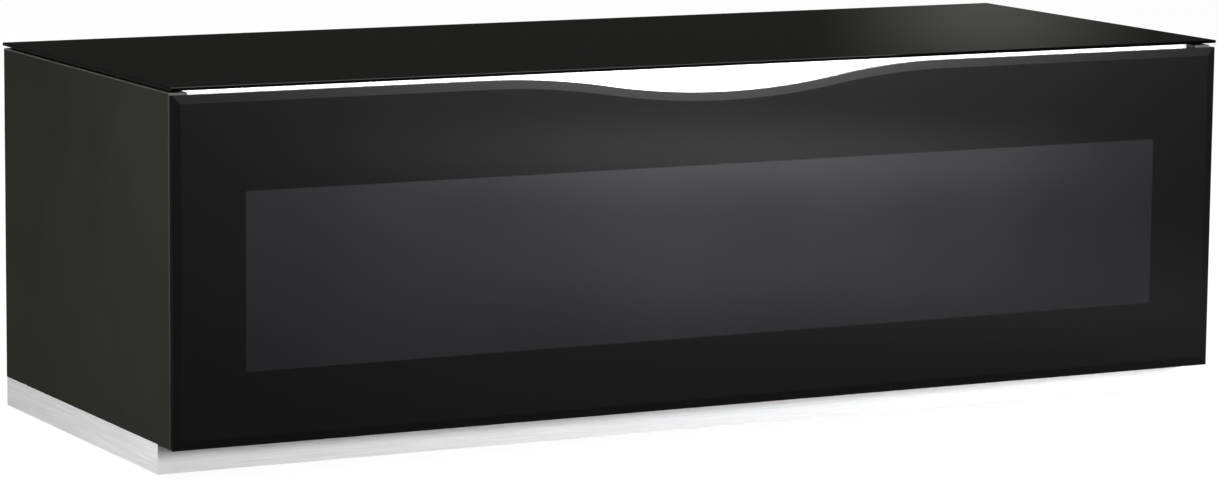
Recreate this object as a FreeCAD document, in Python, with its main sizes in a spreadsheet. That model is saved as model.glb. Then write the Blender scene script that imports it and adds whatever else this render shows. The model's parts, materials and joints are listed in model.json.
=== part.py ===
# Low media cabinet: a dark case on a set-back metal plinth, with a thin glass cover and a full-width
# glass flap that drops forward on three bottom hinges and is held by a braked stay at each end.
# Millimetres. +Z up, the flap faces -Y, and the origin is the middle of the footprint, on the floor.
import FreeCAD, Part
import os
import re
import Sketcher

SIZES = {
    # the whole cabinet
    "width": 1100, "depth": 420, "height": 350,
    # glass cover and the gaps below it
    "cover_thickness": 3, "cover_overhang": 1, "side_gap": 2.5, "door_top_gap": 4, "arris": 0.5,
    "pad_thickness": 1, "pad_radius": 6, "pad_reach": 500, "pad_inner": 170, "pad_margin": 25,
    # case boards
    "side_thickness": 18, "board_thickness": 16, "back_thickness": 6, "back_recess": 3,
    "floor_lip": 4, "divider_setback": 45, "shelf_setback": 62, "shelf_height": 175,
    "shelf_play": 1, "panel_arris": 0.8,
    # plinth and what it stands on
    "plinth_height": 28, "plinth_setback": 36, "plinth_back": 2, "plinth_lift": 1, "block_size": 40,
    "block_lift": 3, "glide_radius": 9, "glide_offset": 10,
    # glass flap, its wave-shaped finger recess and its hinges
    "door_thickness": 6, "door_gap": 2, "wave_half": 240, "wave_depth": 20,
    "facet_width": 8, "facet_depth": 0.4,
    "hinge_back": 4, "hinge_rise": 2.5, "knuckle_radius": 2.5, "hinge_pin_radius": 1.5,
    "hinge_play": 0.05, "hinge_reach": 420, "hinge_length": 60, "knuckle_length": 18,
    "knuckle_gap": 0.5, "leaf_thickness": 1.5, "leaf_depth": 28, "leaf_start": 3,
    "hinge_screw_row": 19.6,
    # front rail behind the flap's top edge
    "rail_setback": 23, "rail_height": 46, "rail_wall": 2.5, "rail_flange": 25,
    # braked stays: a crank on the flap, an arm of the same length and a block in a straight track
    "crank_length": 120, "crank_lean": 20, "track_lean": 8, "track_low": 37, "track_high": 255,
    "track_half": 6, "track_wall": 1.2, "track_base": 2, "track_depth": 8, "arm_thickness": 2,
    "arm_half": 6, "stay_pin_radius": 2, "stay_play": 0.05, "block_half": 11, "block_slack": 0.3,
    "block_sunk": 0.5, "arm_clearance": 2.5, "bracket_clearance": 0.5, "pin_proud": 0.3,
    "bracket_nose": 8, "bracket_below": 45, "bracket_above": 25, "bracket_foot": 30,
    # catches and buffers at the flap's top corners
    "catch_width": 28, "catch_height": 14, "catch_air": 1.5, "strike_thickness": 1,
    "catch_inset": 8, "catch_drop": 32, "buffer_radius": 4, "buffer_play": 0.3, "buffer_drop": 14,
    # joints of the boards
    "dowel_radius": 4, "dowel_in_side": 12, "dowel_in_board": 18, "dowel_spread": 160,
    "cam_radius": 7.5, "cam_depth": 12.5, "cam_inset": 34, "cam_spread": 100,
    "cam_bolt_radius": 3, "cam_bolt_in_side": 10,
    "shelf_pin_radius": 2.5, "shelf_pin_reach": 8, "shelf_pin_bite": 7,
    "shelf_pin_front": -100, "shelf_pin_rear": 160, "pin_row_pitch": 32,
    # screws
    "screw_radius": 1.75, "screw_head_radius": 3.5, "screw_head": 1.5, "screw_length": 12,
    "back_screw_length": 18, "back_screw_pitch": 250,
    "frame_bolt_radius": 2.5, "frame_bolt_head": 5, "frame_bolt_cap": 3, "frame_bolt_bite": 12,
    "frame_bolt_sunk": 10,
    # cable outlets and vents in the back
    "port_reach": 265, "port_height": 110, "port_radius": 30, "grommet_wall": 5,
    "grommet_lip": 4, "grommet_flange": 2, "vent_width": 5, "vent_length": 70, "vent_pitch": 15,
    "vent_height": 215, "vent_count": 9,
}

# Places worked out from the sizes above, as expressions of them.
PLACES = {
    "side_outer": "width / 2 - cover_overhang",
    "side_inner": "side_outer - side_thickness",
    "front": "-depth / 2",
    "rear": "depth / 2",
    "door_inner": "front + door_thickness",
    "case_front": "door_inner + door_gap",
    "cover_bottom": "height - cover_thickness",
    "door_top": "cover_bottom - door_top_gap",
    "side_top": "cover_bottom - side_gap",
    "hinge_y": "door_inner + hinge_back",
    "hinge_z": "plinth_height + hinge_rise",
    "floor_bottom": "hinge_z + knuckle_radius",
    "floor_top": "floor_bottom + board_thickness",
    "roof_top": "cover_bottom - pad_thickness",
    "roof_bottom": "roof_top - board_thickness",
    "back_rear": "rear - back_recess",
    "back_front": "back_rear - back_thickness",
    "rail_front": "front + rail_setback",
    "rail_back": "rail_front + rail_wall",
    "divider_half": "board_thickness / 2",
    "divider_front": "case_front + divider_setback",
    "shelf_front": "case_front + shelf_setback",
    "shelf_top": "shelf_height + board_thickness",
    "plinth_front_y": "front + plinth_setback",
    "plinth_rear_y": "rear - plinth_back",
    "frame_front": "plinth_front_y + side_thickness",
    "frame_rear": "plinth_rear_y - side_thickness",
    "block_inner": "side_inner - block_size",
    "crank_y": "crank_length * sin(crank_lean)",
    "crank_z": "crank_length * cos(crank_lean)",
    "block_travel": "2 * crank_length * cos(crank_lean - track_lean)",
    "track_mouth": "side_inner - track_depth",
    "block_inner_face": "track_mouth + block_sunk",
    "block_outer_face": "side_inner - track_base - block_slack",
    "arm_outer": "track_mouth - arm_clearance",
    "arm_inner": "arm_outer - arm_thickness",
    "bracket_outer": "arm_inner - bracket_clearance",
    "bracket_inner": "bracket_outer - arm_thickness",
    "catch_outer": "side_inner - catch_inset",
    "catch_inner": "catch_outer - catch_width",
    "catch_top": "cover_bottom - catch_drop",
    "catch_bottom": "catch_top - catch_height",
    "floor_middle": "floor_bottom + board_thickness / 2",
    "roof_middle": "roof_bottom + board_thickness / 2",
    "cam_x": "side_inner - cam_inset",
    "shelf_pin_z": "shelf_height - shelf_pin_radius",
    "port_inner": "port_radius - grommet_wall",
}

SIDES = (("left", -1), ("right", 1))

# Two places closer together than this are the same place.
SAME = 1e-6

TURNS = {
    "x": FreeCAD.Rotation(FreeCAD.Vector(0, 1, 0), 90),
    "y": FreeCAD.Rotation(FreeCAD.Vector(1, 0, 0), -90),
    "z": FreeCAD.Rotation(),
}
NORMALS = {"x": "YZ_Plane", "y": "XZ_Plane", "z": "XY_Plane"}

doc = FreeCAD.newDocument("media_cabinet")
sheet = doc.addObject("Spreadsheet::Sheet", "Sizes")
for row, (alias, number) in enumerate(SIZES.items(), start=1):
    sheet.set("A%d" % row, alias)
    sheet.set("B%d" % row, str(number))
    sheet.setAlias("B%d" % row, alias)
doc.recompute()

nodes = []


def full(text):
    """The expression with each place and size written out in the sheet's cells."""
    def swap(found):
        word = found.group(0)
        if word in PLACES:
            return "(" + full(PLACES[word]) + ")"
        return "Sizes." + word if word in SIZES else word
    return re.sub(r"[a-z_]+", swap, str(text))


def value(text):
    """The number an expression gives now."""
    return float(sheet.evalExpression(full(text)))


def bind(thing, prop, text):
    thing.setExpression(prop, full(text))


def keep(thing, label):
    """Takes an object as a finished sub-part, under the name it is known by."""
    thing.Label = label
    nodes.append(thing)
    return thing


def reach(side, near, far):
    """A span along X on one side of the middle, given outwards from it."""
    if side > 0:
        return near, far
    return "-(%s)" % far, "-(%s)" % near


# ---- Part primitives ----

def block(name, x, y, z):
    """A board or box between two places along each axis."""
    box = doc.addObject("Part::Box", name)
    for prop, axis, (low, high) in zip(("Length", "Width", "Height"), "xyz", (x, y, z)):
        bind(box, prop, "(%s) - (%s)" % (high, low))
        bind(box, "Placement.Base." + axis, low)
    return box


def rod(name, axis, start, radius, length):
    """A round bar that runs from its start along +X, +Y or +Z."""
    bar = doc.addObject("Part::Cylinder", name)
    bar.Placement.Rotation = TURNS[axis]
    bind(bar, "Radius", radius)
    bind(bar, "Height", length)
    for letter, place in zip("xyz", start):
        bind(bar, "Placement.Base." + letter, place)
    return bar


def group(name, things):
    gathered = doc.addObject("Part::Compound", name)
    gathered.Links = things
    return gathered


def screw(name, axis, seat, shank, sign=1):
    """A round-headed screw: its head stands on the seat and its shank runs the way of sign."""
    letter = "xyz".index(axis)
    head_start, shank_start = list(seat), list(seat)
    if sign > 0:
        head_start[letter] = "(%s) - screw_head" % seat[letter]
    else:
        shank_start[letter] = "(%s) - (%s)" % (seat[letter], shank)
    body = doc.addObject("Part::Fuse", name)
    body.Base = rod(name + "_head", axis, head_start, "screw_head_radius", "screw_head")
    body.Tool = rod(name + "_shank", axis, shank_start, "screw_radius", shank)
    return body


def drilled(label, blank, groups):
    """A blank with the seats of the fasteners that go into it."""
    cut = doc.addObject("Part::Cut", label)
    cut.Base = blank
    cut.Tool = groups[0] if len(groups) == 1 else group(label + "_seats", groups)
    return keep(cut, label)


# ---- PartDesign bodies ----

def new_body(name):
    return doc.addObject("PartDesign::Body", name)


def new_sketch(body, axis, place):
    """A sketch across an axis, at a place along it."""
    sketch = body.newObject("Sketcher::SketchObject", body.Name + "_sketch")
    planes = {item.Role: item for item in body.Origin.OriginFeatures}
    sketch.AttachmentSupport = [(planes[NORMALS[axis]], "")]
    sketch.MapMode = "FlatFace"
    bind(sketch, "AttachmentOffset.Base.z", "-(%s)" % place if axis == "y" else place)
    return sketch


def dimension(sketch, *constraint, text):
    """Adds one driving dimension and binds it to its expression."""
    index = sketch.addConstraint(Sketcher.Constraint(*constraint, value(text)))
    bind(sketch, "Constraints[%d]" % index, text)


def arc_between(start, end, radius):
    """The short arc from start to end. Its centre is on the left, or on the right if radius < 0."""
    chord = end - start
    left = FreeCAD.Vector(-chord.y, chord.x, 0).normalize()
    rise = abs(radius) - (radius * radius - chord.Length ** 2 / 4) ** 0.5
    middle = (start + end) * 0.5 - left * (rise if radius > 0 else -rise)
    return Part.Arc(start, middle, end)


def half_circle(start, end):
    """The half circle from start to end, on the right of the way between them."""
    chord = end - start
    middle = (start + end) * 0.5 + FreeCAD.Vector(chord.y, -chord.x, 0) * 0.5
    return Part.Arc(start, middle, end)


def draw_outline(sketch, corners):
    """A closed outline of corners (u, v). From (u, v, radius) an arc runs to the next corner, and
    from (u, v, "half") a half circle."""
    points = [FreeCAD.Vector(value(corner[0]), value(corner[1]), 0) for corner in corners]
    edges = []
    for index, corner in enumerate(corners):
        start, end = points[index], points[(index + 1) % len(points)]
        if len(corner) == 2:
            number = sketch.addGeometry(Part.LineSegment(start, end))
        elif corner[2] == "half":
            number = sketch.addGeometry(half_circle(start, end))
        else:
            number = sketch.addGeometry(arc_between(start, end, value(corner[2])))
        ends = (1, 2) if (sketch.getPoint(number, 1) - start).Length < SAME else (2, 1)
        edges.append((number, *ends))
    for index, corner in enumerate(corners):
        number, first, last = edges[index]
        after = edges[(index + 1) % len(edges)]
        sketch.addConstraint(Sketcher.Constraint("Coincident", number, last, after[0], after[1]))
        dimension(sketch, "DistanceX", -1, 1, number, first, text=corner[0])
        dimension(sketch, "DistanceY", -1, 1, number, first, text=corner[1])
        if len(corner) == 3 and corner[2] == "half":
            level = abs(points[index].y - points[(index + 1) % len(points)].y) < SAME
            way, place = ("DistanceY", corner[1]) if level else ("DistanceX", corner[0])
            dimension(sketch, way, -1, 1, number, 3, text=place)
        elif len(corner) == 3:
            dimension(sketch, "Radius", number, text="abs(%s)" % corner[2])


def draw_circle(sketch, u, v, radius):
    centre = FreeCAD.Vector(value(u), value(v), 0)
    normal = FreeCAD.Vector(0, 0, 1)
    number = sketch.addGeometry(Part.Circle(centre, normal, value(radius)))
    dimension(sketch, "DistanceX", -1, 1, number, 3, text=u)
    dimension(sketch, "DistanceY", -1, 1, number, 3, text=v)
    dimension(sketch, "Radius", number, text=radius)


def draw(sketch, outlines, circles):
    for corners in outlines:
        draw_outline(sketch, corners)
    for circle in circles:
        draw_circle(sketch, *circle)


def rectangle(u, v):
    return [(u[0], v[0]), (u[1], v[0]), (u[1], v[1]), (u[0], v[1])]


def prism(body, axis, span, outlines=(), circles=()):
    """Pads outlines and circles over a span of one axis."""
    low, high = span
    sketch = new_sketch(body, axis, high if axis == "y" else low)
    draw(sketch, outlines, circles)
    pad = body.newObject("PartDesign::Pad", body.Name + "_pad")
    pad.Profile = sketch
    bind(pad, "Length", "(%s) - (%s)" % (high, low))
    return pad


def hollow(body, axis, span, outlines=(), circles=()):
    """Cuts outlines and circles away over a span of one axis."""
    low, high = span
    sketch = new_sketch(body, axis, low if axis == "y" else high)
    draw(sketch, outlines, circles)
    pocket = body.newObject("PartDesign::Pocket", body.Name + "_pocket")
    pocket.Profile = sketch
    bind(pocket, "Length", "(%s) - (%s)" % (high, low))
    return pocket


def chamfered(body, feature, size, test):
    """Takes the sharp corner off the edges of a feature that pass a test."""
    doc.recompute()
    names = ["Edge%d" % (index + 1) for index, edge in enumerate(feature.Shape.Edges) if test(edge)]
    chamfer = body.newObject("PartDesign::Chamfer", body.Name + "_arris")
    chamfer.Base = (feature, names)
    bind(chamfer, "Size", size)
    body.Tip = chamfer
    return chamfer


def lies_at(axis, place):
    """A test for edges that lie wholly at one place along an axis."""
    number = value(place)
    return lambda edge: all(abs(getattr(corner.Point, axis) - number) < SAME for corner in edge.Vertexes)


def longer_than(size):
    """A test for edges longer than a size, such as all but the corner edges of a sheet of glass."""
    number = value(size)
    return lambda edge: edge.Length > number + SAME


# ---- fasteners, made first because the boards are drilled with them ----

def make_dowels():
    rods = []
    for name, side in SIDES:
        low, high = reach(side, "side_inner - dowel_in_board", "side_inner + dowel_in_side")
        for board in ("floor", "roof"):
            for place in ("-dowel_spread", "0", "dowel_spread"):
                start = (low, place, board + "_middle")
                length = "(%s) - (%s)" % (high, low)
                rods.append(rod("dowel_%s_%s" % (board, name), "x", start, "dowel_radius", length))
    return keep(group("dowels", rods), "dowels")


def make_cams():
    """Cam housings in the undersides of the boards, and the bolts that they draw tight."""
    housings, bolts = [], []
    for name, side in SIDES:
        low, high = reach(side, "cam_x + cam_radius", "side_inner + cam_bolt_in_side")
        for board in ("floor", "roof"):
            for place in ("-cam_spread", "cam_spread"):
                tag = "%s_%s" % (board, name)
                seat = ("%d * cam_x" % side, place, board + "_bottom")
                housings.append(rod("cam_" + tag, "z", seat, "cam_radius", "cam_depth"))
                start = (low, place, board + "_middle")
                length = "(%s) - (%s)" % (high, low)
                bolts.append(rod("bolt_" + tag, "x", start, "cam_bolt_radius", length))
    return (keep(group("cam_housings", housings), "cam_housings"),
            keep(group("cam_bolts", bolts), "cam_bolts"))


def pin_spans(side):
    """Where a shelf's pins run: out of a side panel, and out of the divider."""
    in_side = reach(side, "side_inner - shelf_pin_reach", "side_inner + shelf_pin_reach")
    in_divider = reach(side, "divider_half - shelf_pin_bite", "divider_half + shelf_pin_reach")
    return in_side, in_divider


def make_shelf_pins():
    pins = []
    for name, side in SIDES:
        for low, high in pin_spans(side):
            for place in ("shelf_pin_front", "shelf_pin_rear"):
                start = (low, place, "shelf_pin_z")
                length = "(%s) - (%s)" % (high, low)
                pins.append(rod("shelf_pin_" + name, "x", start, "shelf_pin_radius", length))
    return keep(group("shelf_pins", pins), "shelf_pins")


def make_spare_pin_holes():
    """The free holes above and below each shelf pin, for setting the shelf at another height."""
    holes = []
    for name, side in SIDES:
        for low, high in pin_spans(side):
            for place in ("shelf_pin_front", "shelf_pin_rear"):
                for step in (-2, -1, 1, 2):
                    start = (low, place, "shelf_pin_z + %d * pin_row_pitch" % step)
                    length = "(%s) - (%s)" % (high, low)
                    holes.append(rod("spare_" + name, "x", start, "shelf_pin_radius", length))
    return group("spare_pin_holes", holes)


def make_back_screws():
    screws = []
    for step in range(-2, 3):
        for place in ("floor_middle", "roof_middle"):
            seat = ("%d * back_screw_pitch" % step, "back_rear", place)
            screws.append(screw("back_screw", "y", seat, "back_screw_length", sign=-1))
    return keep(group("back_screws", screws), "back_screws")


def make_hinge_screws():
    screws = []
    for step in (-1, 0, 1):
        for shift in (-1, 1):
            seat = ("%d * hinge_reach + %d * hinge_length / 4" % (step, shift),
                    "hinge_y + hinge_screw_row", "floor_bottom - leaf_thickness")
            screws.append(screw("hinge_screw", "z", seat, "screw_length"))
    return keep(group("hinge_screws", screws), "hinge_screws")


def make_rail_screws():
    screws = []
    for step in (-3, -1, 1, 3):
        seat = ("%d * side_inner / 4" % step, "rail_back + rail_flange / 2", "roof_bottom - rail_wall")
        screws.append(screw("rail_screw", "z", seat, "screw_length"))
    return keep(group("rail_screws", screws), "rail_screws")


def make_track_screws():
    """Flush screws through the base of each stay track, at the track's two ends."""
    rods = []
    for name, side in SIDES:
        low, high = reach(side, "side_inner - track_base", "side_inner + screw_length")
        for along in ("track_low + screw_head_radius", "track_high - screw_head_radius"):
            start = (low, "hinge_y + (%s) * sin(track_lean)" % along,
                     "hinge_z + (%s) * cos(track_lean)" % along)
            length = "(%s) - (%s)" % (high, low)
            rods.append(rod("track_screw_" + name, "x", start, "screw_radius", length))
    return keep(group("track_screws", rods), "track_screws")


def frame_bolt_places():
    """Where the plinth's blocks and its stretcher are bolted up to the cabinet floor."""
    rows = ("frame_front + block_size / 2", "frame_rear - block_size / 2")
    columns = ["%d * (block_inner + glide_offset)" % side for _, side in SIDES] + ["0"]
    return [(column, row) for column in columns for row in rows]


def make_frame_bolts():
    bolts, wells = [], []
    for column, row in frame_bolt_places():
        bolt = doc.addObject("Part::Fuse", "frame_bolt")
        head_z = "block_lift + frame_bolt_sunk"
        bolt.Base = rod("frame_bolt_head", "z", (column, row, head_z), "frame_bolt_head",
                        "frame_bolt_cap")
        shank = "floor_bottom + frame_bolt_bite - (%s)" % head_z
        bolt.Tool = rod("frame_bolt_shank", "z", (column, row, head_z), "frame_bolt_radius", shank)
        bolts.append(bolt)
        wells.append(rod("frame_bolt_well", "z", (column, row, "block_lift"), "frame_bolt_head",
                         "frame_bolt_sunk"))
    return keep(group("frame_bolts", bolts), "frame_bolts"), group("frame_bolt_wells", wells)


dowels = make_dowels()
cam_housings, cam_bolts = make_cams()
shelf_pins = make_shelf_pins()
spare_pin_holes = make_spare_pin_holes()
back_screws = make_back_screws()
hinge_screws = make_hinge_screws()
rail_screws = make_rail_screws()
track_screws = make_track_screws()
frame_bolts, frame_bolt_wells = make_frame_bolts()


# ---- case ----

def make_side_panel(name, side):
    """A side panel with a fine arris round its outer face."""
    blank = new_body("side_blank_" + name)
    pad = prism(blank, "x", reach(side, "side_inner", "side_outer"),
                [rectangle(("case_front", "rear"), ("plinth_height", "side_top"))])
    chamfered(blank, pad, "panel_arris", lies_at("x", "%d * side_outer" % side))
    drilled("side_panel_" + name, blank,
            [dowels, cam_bolts, shelf_pins, spare_pin_holes, track_screws])


def make_case():
    for name, side in SIDES:
        make_side_panel(name, side)
    across = ("-side_inner", "side_inner")
    floor = block("floor_blank", across, ("hinge_y + floor_lip", "back_front"),
                  ("floor_bottom", "floor_top"))
    drilled("bottom_panel", floor,
            [dowels, cam_housings, cam_bolts, back_screws, hinge_screws, frame_bolts])
    roof = block("roof_blank", across, ("rail_back", "back_front"), ("roof_bottom", "roof_top"))
    drilled("top_panel", roof, [dowels, cam_housings, cam_bolts, back_screws, rail_screws])
    divider = block("divider_blank", ("-divider_half", "divider_half"), ("divider_front", "back_front"),
                    ("floor_top", "roof_bottom"))
    drilled("centre_divider", divider, [shelf_pins, spare_pin_holes])


def make_shelves():
    for name, side in SIDES:
        across = reach(side, "divider_half + shelf_play", "side_inner - shelf_play")
        deep = ("shelf_front", "back_front - shelf_play")
        keep(block("shelf_" + name, across, deep, ("shelf_height", "shelf_top")), "shelf_" + name)


def make_back_panel():
    """The back, with a round cable outlet behind each bay and a row of upright vents above it."""
    blank = new_body("back_blank")
    deep = ("back_front", "back_rear")
    prism(blank, "y", deep, [rectangle(("-side_inner", "side_inner"), ("floor_bottom", "roof_top"))])
    hollow(blank, "y", deep, circles=[("%d * port_reach" % side, "port_height", "port_radius")
                                      for _, side in SIDES])
    for _, side in SIDES:
        first = "%d * port_reach - (vent_count - 1) / 2 * vent_pitch" % side
        slot = rectangle(("%s - vent_width / 2" % first, "%s + vent_width / 2" % first),
                         ("vent_height", "vent_height + vent_length"))
        pocket = hollow(blank, "y", deep, [slot])
        pattern = blank.newObject("PartDesign::LinearPattern", "vents")
        pattern.Originals = [pocket]
        pattern.Direction = (pocket.Profile[0], ["H_Axis"])
        pattern.Mode = "Spacing"
        bind(pattern, "Offset", "vent_pitch")
        bind(pattern, "Occurrences", "vent_count")
        blank.Tip = pattern
    drilled("back_panel", blank, [back_screws])


def make_grommets():
    """A moulded ring that lines each cable outlet, with a lip on the outside of the back."""
    for name, side in SIDES:
        ring = new_body("cable_grommet_" + name)
        sketch = new_sketch(ring, "z", "0")
        draw_outline(sketch, [
            ("port_inner", "back_front"),
            ("port_radius", "back_front"),
            ("port_radius", "back_rear"),
            ("port_radius + grommet_lip", "back_rear"),
            ("port_radius + grommet_lip", "back_rear + grommet_flange"),
            ("port_inner", "back_rear + grommet_flange"),
        ])
        turned = ring.newObject("PartDesign::Revolution", ring.Name + "_turned")
        turned.Profile = sketch
        turned.ReferenceAxis = (sketch, ["V_Axis"])
        turned.Angle = 360
        bind(ring, "Placement.Base.x", "%d * port_reach" % side)
        bind(ring, "Placement.Base.z", "port_height")
        keep(ring, "cable_grommet_" + name)


def make_front_rail():
    """An extruded rail: a face behind the flap's top edge, and a flange under the top panel."""
    rail = new_body("rail_blank")
    prism(rail, "x", ("-side_inner", "side_inner"), [[
        ("rail_front", "roof_top"),
        ("rail_front", "roof_top - rail_height"),
        ("rail_back", "roof_top - rail_height"),
        ("rail_back", "roof_bottom - rail_wall"),
        ("rail_back + rail_flange", "roof_bottom - rail_wall"),
        ("rail_back + rail_flange", "roof_bottom"),
        ("rail_back", "roof_bottom"),
        ("rail_back", "roof_top"),
    ]])
    drilled("front_rail", rail, [rail_screws])


def make_cover():
    """The thin glass cover, and the clear pads that it lies on."""
    cover = new_body("top_glass")
    pad = prism(cover, "z", ("cover_bottom", "height"),
                [rectangle(("-width / 2", "width / 2"), ("front", "rear"))])
    chamfered(cover, pad, "arris", longer_than("cover_thickness"))
    keep(cover, "top_glass")
    discs = []
    for column in ("-pad_reach", "-pad_inner", "pad_inner", "pad_reach"):
        for row in ("rail_back + pad_margin", "back_front - pad_margin"):
            discs.append(rod("glass_pad", "z", (column, row, "roof_top"), "pad_radius", "pad_thickness"))
    keep(group("glass_pads", discs), "glass_pads")


# ---- plinth ----

def make_plinth():
    """Four mitred boards round the base, set back at the front."""
    outer = {"x": "side_outer", "f": "plinth_front_y", "r": "plinth_rear_y"}
    inner = {"x": "side_inner", "f": "frame_front", "r": "frame_rear"}
    boards = {
        "plinth_front": [("-" + outer["x"], outer["f"]), (outer["x"], outer["f"]),
                         (inner["x"], inner["f"]), ("-" + inner["x"], inner["f"])],
        "plinth_back": [("-" + outer["x"], outer["r"]), (outer["x"], outer["r"]),
                        (inner["x"], inner["r"]), ("-" + inner["x"], inner["r"])],
    }
    for name, side in SIDES:
        sign = "" if side > 0 else "-"
        boards["plinth_" + name] = [(sign + outer["x"], outer["f"]), (sign + outer["x"], outer["r"]),
                                    (sign + inner["x"], inner["r"]), (sign + inner["x"], inner["f"])]
    for label, corners in boards.items():
        board = new_body(label)
        prism(board, "z", ("plinth_lift", "plinth_height"), [corners])
        keep(board, label)


def make_plinth_frame():
    """The wooden blocks and the stretcher that carry the cabinet floor, and the glides below them."""
    rows = (("frame_front", "frame_front + block_size"), ("frame_rear - block_size", "frame_rear"))
    tall = ("block_lift", "floor_bottom")
    blocks = [block("corner_block", reach(side, "block_inner", "side_inner"), row, tall)
              for _, side in SIDES for row in rows]
    drilled("plinth_blocks", group("block_blanks", blocks), [frame_bolts, frame_bolt_wells])
    stretcher = block("stretcher_blank", ("-divider_half", "divider_half"),
                      ("frame_front", "frame_rear"), tall)
    drilled("plinth_stretcher", stretcher, [frame_bolts, frame_bolt_wells])
    glides = []
    for row in ("frame_front + block_size / 2", "frame_rear - block_size / 2"):
        for _, side in SIDES:
            start = ("%d * (side_inner - glide_offset)" % side, row, "0")
            glides.append(rod("floor_glide", "z", start, "glide_radius", "block_lift"))
    glides.append(rod("floor_glide", "z", ("0", "0", "0"), "divider_half", "block_lift"))
    keep(group("floor_glides", glides), "floor_glides")


# ---- flap ----

def make_door():
    """The glass flap. Three equal arcs make the wave-shaped finger recess in its top edge, and a
    shallow facet runs all round its front."""
    bend = "((wave_half / 2) ^ 2 + (wave_depth / 2) ^ 2) / wave_depth"
    outline = [
        ("-side_outer", "plinth_height"),
        ("side_outer", "plinth_height"),
        ("side_outer", "door_top"),
        ("wave_half", "door_top", bend),
        ("wave_half / 2", "door_top - wave_depth / 2", "-(%s)" % bend),
        ("-wave_half / 2", "door_top - wave_depth / 2", bend),
        ("-wave_half", "door_top"),
        ("-side_outer", "door_top"),
    ]
    door = new_body("door_glass")
    facet = prism(door, "y", ("front", "front + facet_depth"), [outline])
    bind(facet, "TaperAngle", "-atan(facet_width / facet_depth)")
    sheet_pad = prism(door, "y", ("front + facet_depth", "door_inner"), [outline])
    chamfered(door, sheet_pad, "arris", lies_at("y", "door_inner"))
    keep(door, "door_glass")


def knuckle_spans(middle):
    """The X spans of a hinge's two outer knuckles and of the one between them."""
    end = "hinge_length / 2"
    outer = [("%s - %s" % (middle, end), "%s - %s + knuckle_length" % (middle, end)),
             ("%s + %s - knuckle_length" % (middle, end), "%s + %s" % (middle, end))]
    half = "(hinge_length / 2 - knuckle_length - knuckle_gap)"
    return outer, [("%s - %s" % (middle, half), "%s + %s" % (middle, half))]


def make_leaf(label, whole, knuckles, plate, web, bore):
    """One leaf of a hinge: its plate, and a web and a round knuckle over each knuckle span."""
    leaf = new_body(label)
    prism(leaf, "x", whole, [plate])
    for span in knuckles:
        prism(leaf, "x", span, [web])
        prism(leaf, "x", span, circles=[("hinge_y", "hinge_z", "knuckle_radius")])
    hollow(leaf, "x", whole, circles=[("hinge_y", "hinge_z", bore)])
    return leaf


def make_hinges():
    """Three bottom hinges: one leaf under the cabinet floor, one bonded to the glass, and a pin."""
    for name, step in (("left", -1), ("centre", 0), ("right", 1)):
        middle = "%d * hinge_reach" % step
        whole = ("%s - hinge_length / 2" % middle, "%s + hinge_length / 2" % middle)
        outer, centre = knuckle_spans(middle)
        under_floor = rectangle(("hinge_y + leaf_start", "hinge_y + leaf_depth"),
                                ("floor_bottom - leaf_thickness", "floor_bottom"))
        fixed = make_leaf("fixed_leaf_blank_" + name, whole, outer, under_floor,
                          rectangle(("hinge_y", "hinge_y + leaf_start"), ("hinge_z", "floor_bottom")),
                          "hinge_pin_radius")
        drilled("hinge_leaf_fixed_" + name, fixed, [hinge_screws])
        on_glass = rectangle(("door_inner", "door_inner + leaf_thickness"),
                             ("floor_bottom", "floor_bottom + leaf_depth"))
        moving = make_leaf("hinge_leaf_door_" + name, whole, centre, on_glass,
                           rectangle(("door_inner", "hinge_y"), ("hinge_z", "floor_bottom")),
                           "hinge_pin_radius + hinge_play")
        keep(moving, "hinge_leaf_door_" + name)
        pin = rod("hinge_pin_" + name, "x", (whole[0], "hinge_y", "hinge_z"), "hinge_pin_radius",
                  "hinge_length")
        keep(pin, "hinge_pin_" + name)


# ---- stays ----

def lean(body, tilt):
    """Turns a body that is drawn upright about X, by a tilt in degrees."""
    body.Placement.Rotation = FreeCAD.Rotation(FreeCAD.Vector(1, 0, 0), value(tilt))


def set_on_hinge_line(body):
    """Stands a body on the flap's hinge axis, leaning back as the stay track does."""
    lean(body, "-track_lean")
    bind(body, "Placement.Base.y", "hinge_y")
    bind(body, "Placement.Base.z", "hinge_z")


def make_track(name, side):
    """A channel on the side panel, on a line through the flap's hinge axis."""
    wall = "track_half - track_wall"
    track = new_body("track_blank_" + name)
    sign = "%d * " % side
    prism(track, "z", ("track_low", "track_high"), [[
        (sign + "side_inner", "-track_half"),
        (sign + "track_mouth", "-track_half"),
        (sign + "track_mouth", "-(%s)" % wall),
        (sign + "(side_inner - track_base)", "-(%s)" % wall),
        (sign + "(side_inner - track_base)", wall),
        (sign + "track_mouth", wall),
        (sign + "track_mouth", "track_half"),
        (sign + "side_inner", "track_half"),
    ]])
    set_on_hinge_line(track)
    drilled("stay_track_" + name, track, [track_screws])


def make_slide_block(name, side):
    """The brake block in the track, and the pin that the arm turns on."""
    slider = new_body("stay_block_" + name)
    half = "(track_half - track_wall - block_slack)"
    prism(slider, "z", ("block_travel - block_half", "block_travel + block_half"),
          [rectangle(reach(side, "block_inner_face", "block_outer_face"), ("-" + half, half))])
    prism(slider, "x", reach(side, "arm_inner", "block_outer_face"),
          circles=[("0", "block_travel", "stay_pin_radius")])
    set_on_hinge_line(slider)
    keep(slider, "stay_block_" + name)


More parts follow.
